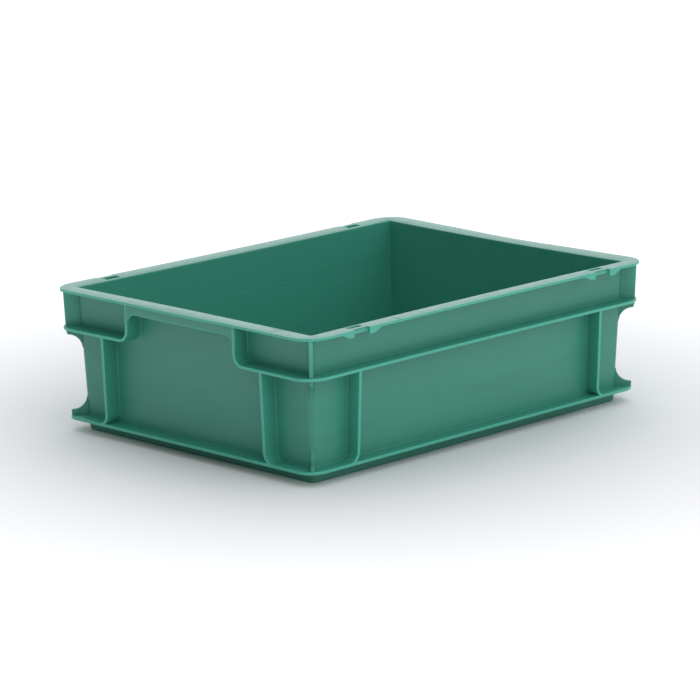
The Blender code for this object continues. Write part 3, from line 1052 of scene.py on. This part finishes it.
def mapped(tree, value, low, high, to_low, to_high):
    """The value, carried from one range to another and held within it."""
    node = add_node(tree, "ShaderNodeMapRange")
    node.inputs["From Min"].default_value = low
    node.inputs["From Max"].default_value = high
    node.inputs["To Min"].default_value = to_low
    node.inputs["To Max"].default_value = to_high
    tree.links.new(value, node.inputs["Value"])
    return node.outputs["Result"]


def math_node(tree, operation, a, b):
    node = add_node(tree, "ShaderNodeMath", operation=operation)
    for socket, value in zip(node.inputs, (a, b)):
        if isinstance(value, (int, float)):
            socket.default_value = value
        else:
            tree.links.new(value, socket)
    return node.outputs["Value"]


def mixed(tree, share, colour_a, colour_b):
    node = add_node(tree, "ShaderNodeMix", data_type="RGBA")
    for socket, value in ((node.inputs[6], colour_a), (node.inputs[7], colour_b)):
        if isinstance(value, tuple):
            socket.default_value = (*value, 1.0)
        else:
            tree.links.new(value, socket)
    tree.links.new(share, node.inputs[0])
    return node.outputs[2]


def stretched(tree, vector, scale):
    """The position, drawn out along an axis for streaks."""
    node = add_node(tree, "ShaderNodeMapping")
    node.inputs["Scale"].default_value = scale
    tree.links.new(vector, node.inputs["Vector"])
    return node.outputs["Vector"]


def shaded(colour, share):
    return tuple(c * share for c in colour)


def streaked(tree, position, base):
    """The base colour, with faint flow streaks."""
    flow = noise(tree, stretched(tree, position, FLOW_STRETCH), 1.0, 4)
    share = mapped(tree, flow, *NOISE_RANGE, 0, 1)
    return mixed(tree, share, shaded(base, 1 - FLOW_CONTRAST), shaded(base, 1 + FLOW_CONTRAST))


def rub_marks(tree, position):
    """1 on fine, sparse rub marks, which lie along the crate's sides."""
    lines = noise(tree, stretched(tree, position, RUB_STRETCH), 1.0, 2)
    patches = noise(tree, position, RUB_PATCH_SCALE, 2)
    lines = mapped(tree, lines, *RUB_RANGE, 0, 1)
    patches = mapped(tree, patches, *RUB_PATCH_RANGE, 0, 1)
    return math_node(tree, "MULTIPLY", lines, patches)


def rubbed(tree, rubs, colour, base):
    """The colour, paler along the rub marks."""
    share = math_node(tree, "MULTIPLY", rubs, RUB_COLOUR_SHARE)
    return mixed(tree, share, colour, tuple(blend(c, RUB_WHITE, 0.5) for c in base))


def with_foot_shade(tree, position, colour):
    """The colour, darkened to a dark grey green low on the foot, as painted shade."""
    height = add_node(tree, "ShaderNodeSeparateXYZ")
    tree.links.new(position, height.inputs["Vector"])
    share = mapped(tree, height.outputs["Z"], *FOOT_SHADE_RANGE, FOOT_SHADE_SHARE, 0)
    return mixed(tree, share, colour, FOOT_SHADE)


def with_painted_light(tree, colour):
    """The colour, with painted light: lighter and clearer where light comes through the plastic."""
    # Reads the painted light stored on each point
    thin = add_node(tree, "ShaderNodeAttribute", attribute_name="thin_edge")
    return mixed(tree, thin.outputs["Fac"], colour, PAINTED_LIGHT_GREEN)


def scuffed(tree, position, rubs, roughness):
    """The roughness, varied by scuffs and raised along the rub marks."""
    scuffs = noise(tree, position, SCUFF_SCALE, 6)
    smoothest, roughest = roughness - SCUFF_SMOOTHER, roughness + SCUFF_ROUGHER
    rough = mapped(tree, scuffs, *NOISE_RANGE, smoothest, roughest)
    return math_node(tree, "ADD", rough, math_node(tree, "MULTIPLY", rubs, RUB_ROUGHNESS))


def grained(tree, position):
    """The normal of a finely grained surface."""
    bump = add_node(tree, "ShaderNodeBump")
    bump.inputs["Strength"].default_value = GRAIN_STRENGTH
    bump.inputs["Distance"].default_value = GRAIN_HEIGHT
    tree.links.new(noise(tree, position, GRAIN_SCALE, 2), bump.inputs["Height"])
    return bump.outputs["Normal"]


def plastic(name, base, roughness):
    """Moulded polypropylene, with flow streaks, rub marks, painted shade low on the foot, painted
    light through thin plastic and a fine grain.
    """
    material = bpy.data.materials.new(name)
    material.use_nodes = True
    tree = material.node_tree
    shader = tree.nodes["Principled BSDF"]
    position = add_node(tree, "ShaderNodeTexCoord").outputs["Object"]
    rubs = rub_marks(tree, position)
    colour = rubbed(tree, rubs, streaked(tree, position, base), base)
    colour = with_painted_light(tree, with_foot_shade(tree, position, colour))
    tree.links.new(colour, shader.inputs["Base Color"])
    tree.links.new(scuffed(tree, position, rubs, roughness), shader.inputs["Roughness"])
    tree.links.new(grained(tree, position), shader.inputs["Normal"])
    shader.inputs["Metallic"].default_value = 0.0
    shader.inputs["IOR"].default_value = PLASTIC_IOR
    return material


def make_materials():
    paint = {}
    for slot_name, (name, share, roughness) in PAINTS.items():
        paint[slot_name] = plastic(name, shaded(BASE_GREEN, share), roughness)
    return paint


# Pieces

def finish_piece(obj, paint, slot_name, face, nodes):
    """Stores a piece's painted light, moves and shades it, and ties it to the CAD nodes that it
    stands for.
    """
    mark_painted_light(obj, face)
    if not own_node(obj).startswith(CORNER_PLATES):
        shift_walls(obj)
    shrink(obj)
    obj.data.materials.clear()
    obj.data.materials.append(paint[slot_name])
    obj.data.shade_smooth()
    obj.data.set_sharp_from_angle(angle=SMOOTH_ANGLE)
    even_normals(obj)
    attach(obj, "root")
    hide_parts(*nodes)


def own_node(obj):
    """The CAD node that a piece stands for where their names match."""
    return obj.name.removeprefix(PREFIX)


def ends_of(side):
    return ((side.before, -1), (side.after, 1))


def build_crate(paint):
    walls = [f"wall_{side.name}" for side in SIDES]
    finish_piece(make_tub(), paint, "tub", level_face(0.0), ["floor_panel"] + walls)
    rims = [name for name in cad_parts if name.startswith(("rim_", "clip_socket_"))]
    finish_piece(make_rim(), paint, "rim", level_face(0.0), rims)
    low_ribs = [f"low_rib_{side.name}" for side in SIDES]
    finish_piece(make_low_rib(), paint, "ribs", level_face(LOW_RIB_INSET), low_ribs)
    for name in ("front", "back"):
        side = SIDE[name]
        stood_for = [f"mid_rib_{name}"]
        for end in (side.before, side.after):
            stood_for += [f"mid_rib_{end}_{name}", f"grip_flank_{end}_{name}"]
        finish_piece(make_mid_rib(side), paint, "ribs", grip_face, stood_for)
    for side in SIDES:
        for end, direction in ends_of(side):
            rib = make_upright(side, direction)
            finish_piece(rib, paint, "ribs", upright_face, [own_node(rib)])
    for name in ("left", "right"):
        skirt = make_skirt(SIDE[name])
        finish_piece(skirt, paint, "grips", None, [own_node(skirt)])
    for corner in CORNERS:
        for plate in (make_corner_rib(corner), make_upper_gusset(corner), make_lower_gusset(corner)):
            finish_piece(plate, paint, "ribs", level_face(MID_RIB_INSET), [own_node(plate)])


# Stage

# The studio's soft lights: the direction each comes from, how tight it is, and its strength
LIGHTS = (
    ((0.0, 0.0, 1.0), 1, 0.47),      # overhead
    ((1.0, 1.0, 0.14), 6, 1.06),     # backdrop behind the far corner
    ((1.0, 1.0, 1.2), 4, 0.84),      # high behind it
    ((0.0, -1.0, 0.1), 3, 0.70),     # key on the long side
    ((0.0, -1.0, 1.0), 3, 0.50),     # high on the same side
    ((-1.0, -1.0, 2.5), 4, 0.20),    # high over the near corner
    ((1.0, 0.0, 0.1), 2, 0.10),      # fill on the far short side
)
LIGHT_COLOUR = (0.985, 1.0, 1.035)
FLOOR_SIZE = 12
FLOOR_WHITE = 0.85
FLOOR_ROUGHNESS = 0.9
FLOOR_GLOW = 0.45                    # how much the floor shines far from the crate
GLOW_START = 0.17
GLOW_END = 0.58
SENSOR_WIDTH = 36.0
LENS = 196.6
CAMERA_PLACE = (-2.1901, -2.1624, 0.7738)
CAMERA_YAW = math.radians(45.305)
CAMERA_PITCH = math.radians(-13.145)
CAMERA_ROLL = math.radians(-0.831)


def make_floor():
    """A white floor that brightens away from the crate, like a lit sweep."""
    bpy.ops.mesh.primitive_plane_add(size=FLOOR_SIZE)
    floor = bpy.context.object
    floor.name = "studio_floor"
    material = bpy.data.materials.new("studio_white")
    material.use_nodes = True
    tree = material.node_tree
    shader = tree.nodes["Principled BSDF"]
    shader.inputs["Base Color"].default_value = (FLOOR_WHITE, FLOOR_WHITE, FLOOR_WHITE, 1.0)
    shader.inputs["Roughness"].default_value = FLOOR_ROUGHNESS
    shader.inputs["Specular IOR Level"].default_value = 0.0
    shader.inputs["Emission Color"].default_value = (1.0, 1.0, 1.0, 1.0)
    position = add_node(tree, "ShaderNodeTexCoord").outputs["Object"]
    distance = add_node(tree, "ShaderNodeVectorMath", operation="LENGTH")
    tree.links.new(position, distance.inputs[0])
    glow = mapped(tree, distance.outputs["Value"], GLOW_START, GLOW_END, 0, FLOOR_GLOW)
    tree.links.new(glow, shader.inputs["Emission Strength"])
    floor.data.materials.append(material)


def facing(tree, direction, towards):
    """The cosine between a world direction and a fixed one."""
    node = add_node(tree, "ShaderNodeVectorMath", operation="DOT_PRODUCT")
    tree.links.new(direction, node.inputs[0])
    node.inputs[1].default_value = Vector(towards).normalized()
    return node.outputs["Value"]


def make_world():
    world = bpy.data.worlds.new("studio")
    bpy.context.scene.world = world
    world.use_nodes = True
    tree = world.node_tree
    direction = add_node(tree, "ShaderNodeTexCoord").outputs["Generated"]
    total = 0.0
    for towards, tightness, strength in LIGHTS:
        light = math_node(tree, "MAXIMUM", facing(tree, direction, towards), 0.0)
        light = math_node(tree, "POWER", light, tightness)
        light = math_node(tree, "MULTIPLY", light, strength)
        total = math_node(tree, "ADD", light, total)
    background = tree.nodes["Background"]
    background.inputs["Color"].default_value = (*LIGHT_COLOUR, 1.0)
    tree.links.new(total, background.inputs["Strength"])


def make_camera():
    data = bpy.data.cameras.new("camera")
    data.sensor_width = SENSOR_WIDTH
    data.lens = LENS
    camera = bpy.data.objects.new("camera", data)
    bpy.context.scene.collection.objects.link(camera)
    turn = Matrix.Rotation(-CAMERA_YAW, 4, "Z") @ Matrix.Rotation(math.pi / 2 + CAMERA_PITCH, 4, "X")
    roll = Matrix.Rotation(CAMERA_ROLL, 4, "Z")
    camera.matrix_world = Matrix.Translation(CAMERA_PLACE) @ turn @ roll
    bpy.context.scene.camera = camera


build_crate(make_materials())
make_floor()
make_world()
make_camera()
bpy.context.scene.view_settings.view_transform = "Standard"
